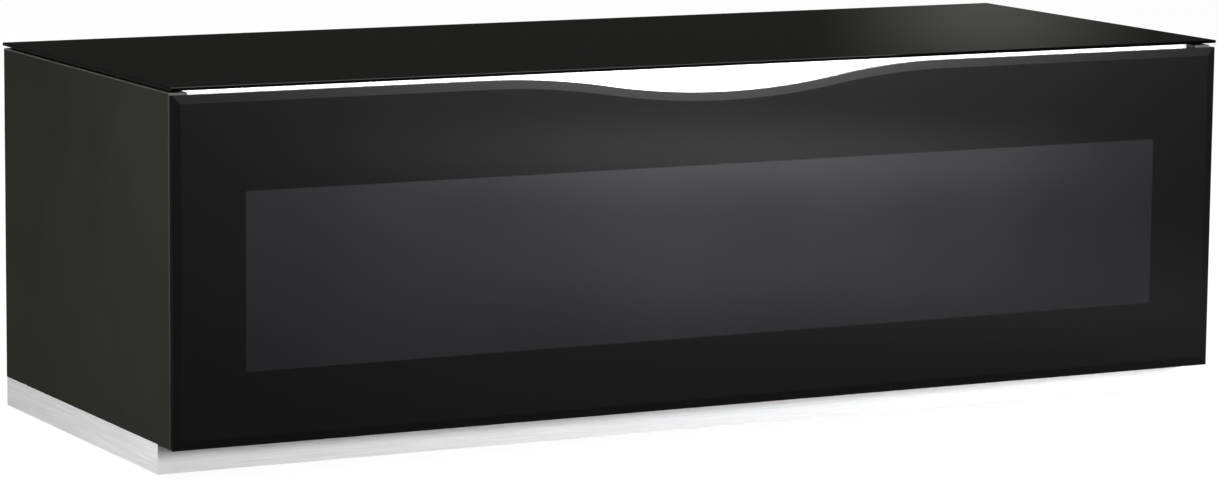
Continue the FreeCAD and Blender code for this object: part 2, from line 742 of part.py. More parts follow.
def make_arm(name, side):
    """The flat arm from the flap's bracket to the block, as long as the crank."""
    arm = new_body("stay_arm_" + name)
    across = reach(side, "arm_inner", "arm_outer")
    prism(arm, "x", across, [[
        ("-arm_half", "0", "half"),
        ("arm_half", "0"),
        ("arm_half", "crank_length", "half"),
        ("-arm_half", "crank_length"),
    ]])
    hole = "stay_pin_radius + stay_play"
    hollow(arm, "x", across, circles=[("0", "0", hole), ("0", "crank_length", hole)])
    lean(arm, "crank_lean - 2 * track_lean")
    bind(arm, "Placement.Base.y", "hinge_y + crank_y")
    bind(arm, "Placement.Base.z", "hinge_z + crank_z")
    keep(arm, "stay_arm_" + name)


def make_bracket(name, side):
    """The bracket on the glass: a foot, an upright ear with a round nose, and the arm's pin."""
    bracket = new_body("stay_bracket_" + name)
    pivot_y, pivot_z = "(hinge_y + crank_y)", "(hinge_z + crank_z)"
    low, high = pivot_z + " - bracket_below", pivot_z + " + bracket_above"
    prism(bracket, "x", reach(side, "bracket_inner", "bracket_outer"), [[
        ("door_inner", low),
        (pivot_y, pivot_z + " - bracket_nose", "half"),
        (pivot_y, pivot_z + " + bracket_nose"),
        ("door_inner", high),
    ]])
    prism(bracket, "x", reach(side, "bracket_inner - bracket_foot", "bracket_outer"),
          [rectangle(("door_inner", "door_inner + leaf_thickness"), (low, high))])
    prism(bracket, "x", reach(side, "bracket_inner", "arm_outer + pin_proud"),
          circles=[(pivot_y, pivot_z, "stay_pin_radius")])
    keep(bracket, "stay_bracket_" + name)


# ---- catches ----

def make_catches():
    """A magnetic catch on the rail near each end, its strike plate on the glass, and the buffers."""
    buffers = []
    for name, side in SIDES:
        across = reach(side, "catch_inner", "catch_outer")
        tall = ("catch_bottom", "catch_top")
        strike_face = "door_inner + strike_thickness"
        keep(block("magnet_catch_" + name, across, (strike_face + " + catch_air", "rail_front"), tall),
             "magnet_catch_" + name)
        keep(block("strike_plate_" + name, across, ("door_inner", strike_face), tall),
             "strike_plate_" + name)
        start = ("%d * (side_inner + side_thickness / 2)" % side, "door_inner + buffer_play",
                 "side_top - buffer_drop")
        buffers.append(rod("door_buffer", "y", start, "buffer_radius", "door_gap - buffer_play"))
    keep(group("door_buffers", buffers), "door_buffers")


make_case()
make_shelves()
make_back_panel()
make_grommets()
make_front_rail()
make_cover()
make_plinth()
make_plinth_frame()
make_door()
make_hinges()
for side_name, side_sign in SIDES:
    make_track(side_name, side_sign)
    make_slide_block(side_name, side_sign)
    make_arm(side_name, side_sign)
    make_bracket(side_name, side_sign)
make_catches()

# ---- check and write ----

doc.recompute()
for thing in doc.Objects:
    if {"Invalid", "Error"} & set(thing.State):
        raise RuntimeError("%s failed to recompute: %s" % (thing.Label, thing.State))
os.makedirs("parts", exist_ok=True)
for node in nodes:
    if node.Shape.isNull() or not node.Shape.isValid():
        raise RuntimeError("%s has no valid shape" % node.Label)
    node.Shape.exportStep("parts/%s.step" % node.Label)
print("%d sub-parts written" % len(nodes))
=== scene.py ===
"""Low media cabinet with a glass cover and a drop-down glass flap: its finishes, its small fittings
and the studio it stands in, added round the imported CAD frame. Lengths are metres unless a name or a
property says otherwise."""

import json
import math

import bmesh
import bpy
from mathutils import Matrix, Vector


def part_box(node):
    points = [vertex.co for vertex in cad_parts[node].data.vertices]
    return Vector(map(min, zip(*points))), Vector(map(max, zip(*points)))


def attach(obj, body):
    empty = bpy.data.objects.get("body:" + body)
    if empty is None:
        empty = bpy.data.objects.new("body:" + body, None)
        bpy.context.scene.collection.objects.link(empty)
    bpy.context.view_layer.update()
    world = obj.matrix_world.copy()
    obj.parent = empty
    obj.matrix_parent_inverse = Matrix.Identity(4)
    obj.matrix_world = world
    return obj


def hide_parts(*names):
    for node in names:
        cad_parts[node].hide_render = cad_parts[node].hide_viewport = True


bl_info = {
    "name": "Media cabinet finishes",
    "version": (1, 0, 0),
    "blender": (4, 5, 0),
    "location": "View3D > Sidebar > Cabinet",
    "description": "Finishes, fittings and studio for a low media cabinet with a glass flap",
    "category": "Object",
}

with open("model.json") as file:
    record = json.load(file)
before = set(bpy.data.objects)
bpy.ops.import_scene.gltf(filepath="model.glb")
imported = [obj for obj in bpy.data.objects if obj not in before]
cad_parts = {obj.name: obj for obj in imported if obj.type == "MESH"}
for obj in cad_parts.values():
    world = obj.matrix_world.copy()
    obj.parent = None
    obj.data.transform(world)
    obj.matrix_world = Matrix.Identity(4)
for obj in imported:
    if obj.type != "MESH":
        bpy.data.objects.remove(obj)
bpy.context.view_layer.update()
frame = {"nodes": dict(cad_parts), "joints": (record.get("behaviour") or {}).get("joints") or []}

MM = 0.001
ENDS = (("left", -1), ("right", 1))
THREE = ("left", "centre", "right")


# ---- sizes and colours a user would change ----

def linear(hex_text):
    """The linear red, green, blue and alpha that shaders take, from an sRGB hex colour."""
    parts = [int(hex_text[start:start + 2], 16) / 255 for start in (0, 2, 4)]
    return tuple(part / 12.92 if part <= 0.04045 else ((part + 0.055) / 1.055) ** 2.4
                 for part in parts) + (1.0,)


def length(name, description, default):
    return bpy.props.FloatProperty(name=name, description=description, default=default, min=0,
                                   unit="LENGTH", precision=5)


def colour(name, description, hex_text):
    return bpy.props.FloatVectorProperty(name=name, description=description, size=4, min=0, max=1,
                                         default=linear(hex_text), subtype="COLOR")


class CabinetColours(bpy.types.PropertyGroup):
    lacquer: colour("Lacquer", "Black lacquer on the case boards", "1f1f1b")
    lacquer_light: colour("Lacquer, lighter", "Where the lacquer lies a little thinner", "252521")
    hardboard: colour("Back", "Black facing of the back", "232321")
    hardboard_fibre: colour("Back fibres", "Fibres that show through the back's facing", "33322f")
    back_paint: colour("Cover paint", "Black paint on the underside of the cover glass", "0f1010")
    glass_edge: colour("Cover edge", "Polished edge of the cover glass", "161c19")
    flap_print: colour("Flap print", "Black enamel printed round the flap", "080808")
    smoke_film: colour("Smoke film", "Smoked layer in the flap's window", "353437")
    anodised: colour("Plinth", "Clear anodised aluminium of the plinth", "f4f4f5")
    anodised_dark: colour("Plinth grain", "Darker lines of the plinth's brushed grain", "e4e4e6")
    # the rail's colour is also that of its painted glow, which makes it shine though no lamp lights
    # it
    rail_face_and_painted_glow: colour("Rail", "Satin face of the rail behind the flap", "f6f6f6")
    nickel: colour("Nickel", "Nickel plating on hinges, stays and strikes", "b4afa6")
    zinc: colour("Zinc", "Bright zinc plating on screws and cams", "b9bcc0")
    black_plastic: colour("Black plastic", "Moulded grommets, catches and glides", "1d1d1e")
    acetal: colour("Acetal", "White acetal of the brake blocks", "dcdbd4")
    silicone: colour("Silicone", "Clear silicone pads and buffers", "c9c9c4")
    beech: colour("Beech", "Planed beech of the blocks and dowels", "c39a6b")
    beech_dark: colour("Beech pores", "Darker rays and pores of the beech", "9a7047")


class CabinetFlap(bpy.types.PropertyGroup):
    wave_half: length("Wave half width", "From the middle to the end of the wave", 240 * MM)
    wave_depth: length("Wave depth", "How far the wave dips at the middle", 20 * MM)
    arris: length("Arris", "Fine ground corner along the back edges", 0.5 * MM)
    window_side: length("Window side margin", "Print between the window and each end", 70 * MM)
    window_top: length("Window top margin", "Print above the window", 87.5 * MM)
    window_bottom: length("Window bottom margin", "Print below the window", 66.5 * MM)
    window_blur: length("Window edge", "Width of the soft edge of the print", 1.2 * MM)


class CabinetFittings(bpy.types.PropertyGroup):
    edge_round: length("Moulded edge", "Rounding of the moulded and stamped fittings", 0.6 * MM)
    recess_width: length("Cross recess", "Width of one slot of a screw's cross recess", 0.9 * MM)
    recess_depth: length("Recess depth", "Depth of a screw's cross recess", 0.9 * MM)
    thread_pitch: length("Thread pitch", "Distance between the turns of a wood screw", 1.6 * MM)
    washer_radius: length("Washer", "Radius of the washers on the stays' pins", 4.2 * MM)


class CabinetStudio(bpy.types.PropertyGroup):
    camera_place: bpy.props.FloatVectorProperty(
        name="Camera", description="Where the camera stands", size=3, unit="LENGTH",
        subtype="TRANSLATION", default=(-2.0693, -3.9347, 0.8000))
    yaw: bpy.props.FloatProperty(
        name="Yaw", description="Turn of the camera from +Y towards +X", unit="ROTATION",
        default=math.radians(27.646))
    pitch: bpy.props.FloatProperty(
        name="Pitch", description="Tilt of the camera above the horizon", unit="ROTATION",
        default=math.radians(-8.239))
    roll: bpy.props.FloatProperty(
        name="Roll", description="Turn of the camera about its line of sight", unit="ROTATION",
        default=math.radians(0.568))
    lens_mm: bpy.props.FloatProperty(
        name="Lens", description="Focal length on a 36 mm wide sensor", default=136.91, min=1)
    floor_half: length("Floor", "Half of the floor's side", 14.0)
    room_light: bpy.props.FloatProperty(
        name="Room", description="Brightness of the dark studio round the cabinet", default=0.025,
        min=0)
    patch_light: bpy.props.FloatProperty(
        name="Patch", description="Extra brightness of the far patch that the cover mirrors",
        default=0.105, min=0)
    patch_turn: bpy.props.FloatProperty(
        name="Patch turn", description="Where the patch is, turned from +Y towards +X",
        unit="ROTATION", default=math.radians(32.3))
    patch_half: bpy.props.FloatProperty(
        name="Patch half width", description="How far the patch fades out to each side",
        unit="ROTATION", default=math.radians(2.3))


def settings(group):
    return getattr(bpy.context.scene, "cabinet_" + group)


# ---- materials ----

# Soft noise lies almost wholly between these two values.
NOISE_SPAN = (0.3, 0.7)


def add(tree, kind, inputs=None, **options):
    """Adds a node, sets its options, and gives its inputs numbers, colours or other outputs."""
    node = tree.nodes.new(kind)
    for name, option in options.items():
        setattr(node, name, option)
    for name, entry in (inputs or {}).items():
        if isinstance(entry, bpy.types.NodeSocket):
            tree.links.new(entry, node.inputs[name])
        else:
            node.inputs[name].default_value = entry
    return node


def per_metre(feature_mm):
    """The texture scale, on coordinates in metres, that gives features of a size in millimetres."""
    return 1 / (feature_mm * MM)


def darker(tone, share):
    """A colour with only a share of its light."""
    return tuple(part * share for part in tone[:3]) + (1.0,)


def start_material(name, constants):
    """A new material, its tree, its shader with what is the same all over the surface, and the
    coordinates for its patterns, in metres in the cabinet's own frame."""
    material = bpy.data.materials.new(name)
    material.use_nodes = True
    tree = material.node_tree
    shader = tree.nodes["Principled BSDF"]
    for socket, entry in constants.items():
        shader.inputs[socket].default_value = entry
    return material, tree, shader, add(tree, "ShaderNodeTexCoord").outputs["Object"]


def patterned(name, constants, sizes_mm, detail, colours, roughness, relief, stretch=None,
              colour_span=NOISE_SPAN):
    """A material whose colour, roughness and relief follow soft random patterns.

    The three sizes are of the colour's, the roughness's and the relief's pattern, and the same size
    is the same pattern. Colours are the ones at the pattern's low and high end, or only one if it
    is the same all over. Roughness is at the low and high end. Relief is a height in millimetres
    and a strength. Stretch scales the coordinates along each axis, so a round pattern gets long."""
    material, tree, shader, place = start_material(name, constants)
    if stretch:
        place = add(tree, "ShaderNodeVectorMath", {0: place, 1: stretch},
                    operation="MULTIPLY").outputs[0]
    noises = {size: add(tree, "ShaderNodeTexNoise", {"Vector": place, "Scale": per_metre(size),
                                                     "Detail": detail}).outputs["Fac"]
              for size in dict.fromkeys(sizes_mm)}
    in_colour, in_roughness, in_relief = (noises[size] for size in sizes_mm)
    if len(colours) == 1:
        shader.inputs["Base Color"].default_value = colours[0]
    else:
        share = add(tree, "ShaderNodeMapRange", {"Value": in_colour, "From Min": colour_span[0],
                                                 "From Max": colour_span[1]})
        mixed = add(tree, "ShaderNodeMix", {0: share.outputs["Result"], 6: colours[0],
                                            7: colours[1]}, data_type="RGBA")
        tree.links.new(mixed.outputs[2], shader.inputs["Base Color"])
    dull = add(tree, "ShaderNodeMapRange", {"Value": in_roughness, "From Min": NOISE_SPAN[0],
                                            "From Max": NOISE_SPAN[1], "To Min": roughness[0],
                                            "To Max": roughness[1]})
    tree.links.new(dull.outputs["Result"], shader.inputs["Roughness"])
    raised = add(tree, "ShaderNodeBump", {"Height": in_relief, "Distance": relief[0] * MM,
                                          "Strength": relief[1]})
    tree.links.new(raised.outputs["Normal"], shader.inputs["Normal"])
    return material


def satin_black_lacquer():
    """Satin polyurethane lacquer, sprayed on fibreboard: a soft sheen over a faint orange peel."""
    tint = settings("colours")
    # its depth drifts over 180 mm and its sheen over 45 mm; orange peel is about 1 mm across, and
    # is drawn at 3 mm so that it shows
    return patterned("satin_black_lacquer", {"IOR": 1.49, "Specular IOR Level": 0.3},
                     (180, 45, 3), 2, (tint.lacquer, tint.lacquer_light), (0.40, 0.48),
                     (0.02, 0.35))


def black_faced_hardboard():
    """Hardboard with a matt black paper face: dull, with a mottled fibre under the paper."""
    tint = settings("colours")
    # the fibres are about 0.5 mm across, and are drawn at 4 mm so that they show
    return patterned("black_faced_hardboard", {"IOR": 1.5, "Specular IOR Level": 0.25},
                     (4, 4, 4), 6, (tint.hardboard, tint.hardboard_fibre), (0.62, 0.74), (0.08, 0.5),
                     stretch=(1, 1, 2.5), colour_span=(0.45, 0.75))


def black_painted_float_glass():
    """Polished float glass painted black underneath: a sharp mirror over black, and edges that show
    the glass's own dark green."""
    tint = settings("colours")
    material, tree, shader, place = start_material(
        "black_painted_float_glass", {"IOR": 1.52, "Specular IOR Level": 0.5})
    # a face that looks nearly straight up or down is the painted sheet, and any other is its edge
    up = add(tree, "ShaderNodeSeparateXYZ",
             {0: add(tree, "ShaderNodeNewGeometry").outputs["True Normal"]}).outputs["Z"]
    level = add(tree, "ShaderNodeMath", {0: up}, operation="ABSOLUTE").outputs[0]
    sheet = add(tree, "ShaderNodeMapRange", {"Value": level, "From Min": 0.8, "From Max": 0.9})
    mixed = add(tree, "ShaderNodeMix", {0: sheet.outputs["Result"], 6: tint.glass_edge,
                                        7: tint.back_paint}, data_type="RGBA")
    tree.links.new(mixed.outputs[2], shader.inputs["Base Color"])
    # wiped smudges: a little duller in soft strokes about 90 mm wide, drawn out along the cover
    along = add(tree, "ShaderNodeVectorMath", {0: place, 1: (0.35, 1, 1)}, operation="MULTIPLY")
    wiped = add(tree, "ShaderNodeTexNoise", {"Vector": along.outputs[0], "Scale": per_metre(90),
                                             "Detail": 3})
    dull = add(tree, "ShaderNodeMapRange", {"Value": wiped.outputs["Fac"], "From Min": 0.35,
                                            "From Max": 0.75, "To Min": 0.02, "To Max": 0.05})
    tree.links.new(dull.outputs["Result"], shader.inputs["Roughness"])
    return material


def printed_smoked_glass():
    """Polished glass with a black enamel print round a smoked window: one clear mirror in front,
    and behind it a layer that is black under the print and softly reflecting in the window."""
    tint, flap = settings("colours"), settings("flap")
    low, high = (Vector(corner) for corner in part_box("door_glass"))
    material, tree, shader, place = start_material(
        "printed_smoked_glass", {"IOR": 1.5, "Specular IOR Level": 0.1, "Coat Weight": 0.55,
                                 "Coat Roughness": 0.015, "Coat IOR": 1.4})
    # 1 in the window and 0 under the print, first across the flap and then up it
    spot = add(tree, "ShaderNodeSeparateXYZ", {0: place})
    blur, inside = flap.window_blur / 2, []
    for axis, near, far in (("X", low.x + flap.window_side, high.x - flap.window_side),
                            ("Z", low.z + flap.window_bottom, high.z - flap.window_top)):
        half = (far - near) / 2
        away = add(tree, "ShaderNodeMath", {0: spot.outputs[axis], 1: (near + far) / 2},
                   operation="SUBTRACT").outputs[0]
        away = add(tree, "ShaderNodeMath", {0: away}, operation="ABSOLUTE").outputs[0]
        inside.append(add(tree, "ShaderNodeMapRange",
                          {"Value": away, "From Min": half - blur, "From Max": half + blur,
                           "To Min": 1, "To Max": 0}).outputs["Result"])
    window = add(tree, "ShaderNodeMath", {0: inside[0], 1: inside[1]},
                 operation="MULTIPLY").outputs[0]
    # the film is a little uneven: up to a quarter of the way to the print's black, in broad clouds
    cloud = add(tree, "ShaderNodeTexNoise", {"Vector": place, "Scale": per_metre(260), "Detail": 3})
    share = add(tree, "ShaderNodeMapRange", {"Value": cloud.outputs["Fac"],
                                             "From Min": NOISE_SPAN[0], "From Max": NOISE_SPAN[1],
                                             "To Max": 0.25})
    film = add(tree, "ShaderNodeMix", {0: share.outputs["Result"], 6: tint.smoke_film,
                                       7: tint.flap_print}, data_type="RGBA")
    layer = add(tree, "ShaderNodeMix", {0: window, 6: tint.flap_print, 7: film.outputs[2]},
                data_type="RGBA")
    tree.links.new(layer.outputs[2], shader.inputs["Base Color"])
    dull = add(tree, "ShaderNodeMapRange", {"Value": window, "To Min": 0.27, "To Max": 0.26})
    tree.links.new(dull.outputs["Result"], shader.inputs["Roughness"])
    tree.links.new(window, shader.inputs["Metallic"])
    return material


def brushed_aluminium(name, along, roughness, tones=("anodised_dark", "anodised"), glow=0):
    """Clear anodised aluminium, brushed along one axis: long fine lines that spread each highlight
    across the grain. A glow above 0 is painted light: the metal shines in its lighter colour as if
    lit."""
    colours = [getattr(settings("colours"), tone) for tone in tones]
    # the lines are 0.3 mm apart on the metal, and are drawn at 1.2 mm so that they show
    # the glow is painted light, an emission that no lamp gives; it is 0 on all but the rail
    return patterned(name, {"Metallic": 0.35, "Anisotropic": 0.35, "Emission Strength": glow,
                            "Emission Color": colours[-1]}, (1.2, 1.2, 1.2), 4, colours,
                     (roughness - 0.04, roughness + 0.05), (0.01, 0.3),
                     stretch=tuple(0.02 if axis == along else 1 for axis in "xyz"))


def plated_steel(name, tone_name, roughness, bloom_mm):
    """Stamped or turned steel with a thin bright plating: metallic, with a faint uneven bloom that
    is a little darker and duller."""
    tone = getattr(settings("colours"), tone_name)
    return patterned(name, {"Metallic": 1}, (bloom_mm,) * 3, 4, (darker(tone, 0.78), tone),
                     (roughness + 0.08, roughness), (0.01, 0.25))


def moulded_polymer(name, tone_name, roughness, grain_mm, constants):
    """A moulded polymer: the mould's fine grain breaks up its sheen."""
    tone = getattr(settings("colours"), tone_name)
    return patterned(name, constants, (grain_mm,) * 3, 3, (darker(tone, 0.88), tone),
                     (roughness - 0.04, roughness + 0.06), (0.03, 0.4))


def planed_beech():
    """Planed, unfinished beech: pale brown, with short dark rays along the grain."""
    tint = settings("colours")
    # the rays are 2.2 mm across, and eight times as long
    return patterned("planed_beech", {"IOR": 1.5, "Specular IOR Level": 0.25}, (2.2, 2.2, 2.2), 5,
                     (tint.beech, tint.beech_dark), (0.55, 0.7), (0.05, 0.4), stretch=(1, 1, 0.12),
                     colour_span=(0.4, 0.8))


MADE = {}
MATERIALS = {
    "lacquer": satin_black_lacquer,
    "hardboard": black_faced_hardboard,
    "cover": black_painted_float_glass,
    "flap": printed_smoked_glass,
    # the plinth's boards are brushed along their own length, so their grain meets at the mitres
    "plinth_x": lambda: brushed_aluminium("anodised_aluminium_along_x", "x", 0.5),
    "plinth_y": lambda: brushed_aluminium("anodised_aluminium_along_y", "y", 0.5),
    # the rail's satin face glows with painted light, an emission of 0.9 in its own colour, so that it
    # reads as white even in its narrow gap, where little lamp light reaches it
    "rail": lambda: brushed_aluminium("satin_aluminium_rail", "x", 0.55, ("rail_face_and_painted_glow",), 0.9),
    # the brake track is drawn smoother than the plinth, and shines in a narrow streak
    "track": lambda: brushed_aluminium("anodised_aluminium_track", "z", 0.35),
    # nickel is warm and fairly sharp, zinc cooler and more clouded
    "nickel": lambda: plated_steel("nickel_plated_steel", "nickel", 0.22, 6),
    "zinc": lambda: plated_steel("zinc_plated_steel", "zinc", 0.3, 3),
    # ABS takes the mould's matt grain, acetal looks waxy, and silicone lets light through
    "plastic": lambda: moulded_polymer("black_moulded_abs", "black_plastic", 0.5, 0.8,
                                       {"IOR": 1.53, "Specular IOR Level": 0.4}),
    "acetal": lambda: moulded_polymer("white_acetal", "acetal", 0.38, 1.5,
                                      {"IOR": 1.48, "Subsurface Weight": 0.1}),
    "silicone": lambda: moulded_polymer("clear_silicone", "silicone", 0.3, 2.0,
                                        {"IOR": 1.41, "Transmission Weight": 0.6}),
    "beech": planed_beech,
}


def finish(key):
    """The material of a finish, made when it is first asked for."""
    if key not in MADE:
        MADE[key] = MATERIALS[key]()
    return MADE[key]


def paint(key, *nodes):
    """Gives CAD nodes that keep their own shape a better material."""
    for node in nodes:
        for holder in frame["nodes"][node].material_slots:
            holder.material = finish(key)


# ---- mesh building ----

def new_piece(name, mesh, body, slot, key, *stands_for, sharp=math.radians(32)):
    """Puts a built mesh into the scene as a piece that rides on a body."""
    built = bpy.data.meshes.new(name)
    mesh.normal_update()
    mesh.to_mesh(built)
    mesh.free()
    built.shade_smooth()
    built.set_sharp_from_angle(angle=sharp)
    built.materials.append(finish(key))
    piece = bpy.data.objects.new(name, built)
    bpy.context.scene.collection.objects.link(piece)
    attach(piece, body)
    if stands_for:
        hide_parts(*stands_for)
    return piece


def solids_of(node):
    """The corners of the box of each separate solid in a node, in a fixed order."""
    mesh = bmesh.new()
    mesh.from_mesh(frame["nodes"][node].data)
    same_place = 0.001 * MM
    bmesh.ops.remove_doubles(mesh, verts=mesh.verts, dist=same_place)
    left, boxes = set(mesh.verts), []
    for first in mesh.verts:
        if first not in left:
            continue
        left.discard(first)
        found, queue = [], [first]
        while queue:
            corner = queue.pop()
            found.append(corner.co.copy())
            for edge in corner.link_edges:
                other = edge.other_vert(corner)
                if other in left:
                    left.discard(other)
                    queue.append(other)
        boxes.append(tuple(Vector([pick(place[axis] for place in found) for axis in range(3)])
                           for pick in (min, max)))
    mesh.free()
    return sorted(boxes, key=lambda box: [round(number, 5) for corner in box for number in corner])


def pose_along(start, direction):
    """The transform that takes the origin to a start, and +Z to a direction."""
    facing = Vector(direction).to_track_quat("Z", "Y").to_matrix().to_4x4()
    return Matrix.Translation(start) @ facing


def turn(mesh, profile, matrix, steps=32):
    """Turns a profile of (radius, height) about +Z, closes its ends, and moves it by a matrix."""
    rings = []
    for radius, height in profile:
        ring = []
        for step in range(steps):
            angle = 2 * math.pi * step / steps
            place = Vector((radius * math.cos(angle), radius * math.sin(angle), height))
            ring.append(mesh.verts.new(matrix @ place))
        rings.append(ring)
    for below, above in zip(rings, rings[1:]):
        for step in range(steps):
            after = (step + 1) % steps
            mesh.faces.new((below[step], below[after], above[after], above[step]))
    mesh.faces.new(list(reversed(rings[0])))
    mesh.faces.new(rings[-1])


def turn_ring(mesh, profile, matrix, steps=64):
    """Turns a closed profile of (radius, height) about +Z, for a ring with a hole through it."""
    rings = []
    for step in range(steps):
        angle = 2 * math.pi * step / steps
        rings.append([mesh.verts.new(matrix @ Vector((radius * math.cos(angle),
                                                      radius * math.sin(angle), height)))
                      for radius, height in profile])
    for step in range(steps):
        ring, after = rings[step], rings[(step + 1) % steps]
        for index in range(len(profile)):
            following = (index + 1) % len(profile)
            mesh.faces.new((ring[index], after[index], after[following], ring[following]))


def quarter(centre, radius, first, steps=4):
    """Points on a quarter circle, anticlockwise from a first angle in degrees."""
    return [(centre[0] + radius * math.cos(math.radians(first + 90 * step / steps)),
             centre[1] + radius * math.sin(math.radians(first + 90 * step / steps)))
            for step in range(steps + 1)]


def sharp_box(mesh, low, high):
    """A box between two corners. Returns its vertices."""
    made = bmesh.ops.create_cube(mesh, size=1)["verts"]
    middle, size = (Vector(low) + Vector(high)) / 2, Vector(high) - Vector(low)
    for corner in made:
        corner.co = middle + Vector([part * full for part, full in zip(corner.co, size)])
    return made


def soft_box(mesh, low, high, rounding, steps=3):
    """A box between two corners with all its edges rounded."""
    made = sharp_box(mesh, low, high)
    edges = list({edge for corner in made for edge in corner.link_edges})
    bmesh.ops.bevel(mesh, geom=edges, offset=rounding, segments=steps, profile=0.5,
                    affect="EDGES", clamp_overlap=True)


def dome(radius, seat, top, steps=5):
    """The profile of a low domed head from its seat to its top, as wide as a radius."""
    points = [(radius, seat)]
    # the last point stops this part of a step short of the axis, which leaves a small flat
    short = 0.6
    for step in range(1, steps + 1):
        angle = math.radians(90 * step / (steps + short))
        points.append((radius * math.cos(angle), seat + (top - seat) * math.sin(angle)))
    return points


def cross_cut(mesh, radius, matrix, depth, top):
    """Cuts a driver's cross recess into the head that a mesh holds, and returns the cut mesh."""
    wide = settings("fittings").recess_width / 2
    # how far the slots reach across the head, and what is left of their size at their bottom
    reach, narrowed = radius * 0.62, 0.6
    tool = bmesh.new()
    for across in ((reach, wide), (wide, reach)):
        for corner in sharp_box(tool, (-across[0], -across[1], top - depth),
                                (across[0], across[1], top + depth)):
            if corner.co.z < top:
                corner.co.x *= narrowed
                corner.co.y *= narrowed
    holders = []
    for name, source in (("head_blank", mesh), ("recess_tool", tool)):
        data = bpy.data.meshes.new(name)
        source.to_mesh(data)
        source.free()
        holders.append(bpy.data.objects.new(name, data))
        bpy.context.scene.collection.objects.link(holders[-1])
    blank, cutter = holders
    cut = blank.modifiers.new("recess", "BOOLEAN")
    cut.operation, cut.solver, cut.use_self, cut.object = "DIFFERENCE", "EXACT", True, cutter
    shaped = blank.evaluated_get(bpy.context.evaluated_depsgraph_get()).to_mesh()
    result = bmesh.new()
    result.from_mesh(shaped)
    result.transform(matrix)
    for holder in holders:
        bpy.data.objects.remove(holder, do_unlink=True)
    return result


def join(target, source):
    """Adds a copy of one mesh's faces to another, and frees the source."""
    data = bpy.data.meshes.new("passed_on")
    source.to_mesh(data)
    source.free()
    target.from_mesh(data)
    bpy.data.meshes.remove(data)


def wood_screw(mesh, seat, direction, head_radius, head_height, shank_radius, shank_length):
    """A domed wood screw with a cross recess. Its head stands on the seat against the direction."""
    pitch = settings("fittings").thread_pitch
    profile = dome(head_radius, 0, head_height)
    # parts of the shank's radius, at its point, in the thread's core and in the plain neck
    point, full_core, neck = 0.15, 0.72, 0.9
    # parts of its length that are threaded, and plain under the head
    threaded, plain = 0.7, 0.25
    # parts of a pitch: where the first turn starts, and how far up a turn its crest and its end are
    first, crest_at, end_at = 0.6, 0.35, 0.7
    shank = [(shank_radius * point, -shank_length)]
    for step in range(int(shank_length * threaded / pitch)):
        low = -shank_length + pitch * (step + first)
        # the turns grow out of the point until the core and the crest have their full radius
        core = shank_radius * min(full_core, 0.3 + 0.12 * step)
        crest = shank_radius * min(1.0, 0.5 + 0.15 * step)
        shank += [(core, low), (crest, low + pitch * crest_at), (core, low + pitch * end_at)]
    shank += [(shank_radius * neck, -shank_length * plain), (shank_radius * neck, 0),
              (head_radius, 0)]
    head = bmesh.new()
    turn(head, shank + profile[1:], Matrix(), 24)
    matrix = pose_along(seat, -Vector(direction))
    depth = settings("fittings").recess_depth
    join(mesh, cross_cut(head, head_radius, matrix, depth, head_height))


# ---- pieces ----

class CabinetOperator:
    """What the cabinet's operators share."""
    bl_options = {"REGISTER", "UNDO"}


class CABINET_OT_case(CabinetOperator, bpy.types.Operator):
    """Lacquers the case boards and the shelves"""
    bl_idname = "cabinet.case"
    bl_label = "Case boards"

    def execute(self, context):
        paint("lacquer", "side_panel_left", "side_panel_right", "bottom_panel", "top_panel",
              "centre_divider", "shelf_left", "shelf_right")
        return {"FINISHED"}


class CABINET_OT_back(CabinetOperator, bpy.types.Operator):
    """Faces the back, and puts a moulded grommet with a rounded lip in each cable outlet"""
    bl_idname = "cabinet.back"
    bl_label = "Back and grommets"

    def execute(self, context):
        paint("hardboard", "back_panel")
        rounding = settings("fittings").edge_round
        # in from the lip's rim to the sleeve that fills the board's hole, and to the cable's hole
        to_sleeve, to_hole = 4 * MM, 9 * MM
        rim_round, hole_round = 1.2 * MM, 1.8 * MM
        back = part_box("back_panel")
        for name, _ in ENDS:
            low, high = (Vector(corner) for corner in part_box("cable_grommet_" + name))
            centre = (low + high) / 2
            lip, wall_end = (high.x - low.x) / 2, back[1][1] - low.y
            thick = high.y - low.y
            inner, sleeve = lip - to_hole, lip - to_sleeve
            profile = [(inner, rounding), (inner + rounding, 0), (sleeve, 0), (sleeve, wall_end),
                       (lip, wall_end)]
            profile += quarter((lip - rim_round, thick - rim_round), rim_round, 0)
            profile += quarter((inner + hole_round, thick - hole_round), hole_round, 90)
            ring = bmesh.new()
            turn_ring(ring, profile, pose_along((centre.x, low.y, centre.z), (0, 1, 0)))
            new_piece("moulded_grommet_" + name, ring, "cabinet", "moulded_plastic", "plastic",
                      "cable_grommet_" + name)
        return {"FINISHED"}


class CABINET_OT_cover(CabinetOperator, bpy.types.Operator):
    """Finishes the cover glass, and lays it on clear domed pads"""
    bl_idname = "cabinet.cover"
    bl_label = "Cover glass and pads"

    def execute(self, context):
        paint("cover", "top_glass")
        pads = bmesh.new()
        for low, high in solids_of("glass_pads"):
            centre, radius = (low + high) / 2, (high.x - low.x) / 2
            tall = high.z - low.z
            profile = [(radius, 0)] + quarter((radius - tall / 2, tall / 2), tall / 2, 0)
            turn(pads, profile, Matrix.Translation((centre.x, centre.y, low.z)), 40)
        new_piece("clear_pads", pads, "cabinet", "clear_silicone", "silicone", "glass_pads")
        return {"FINISHED"}


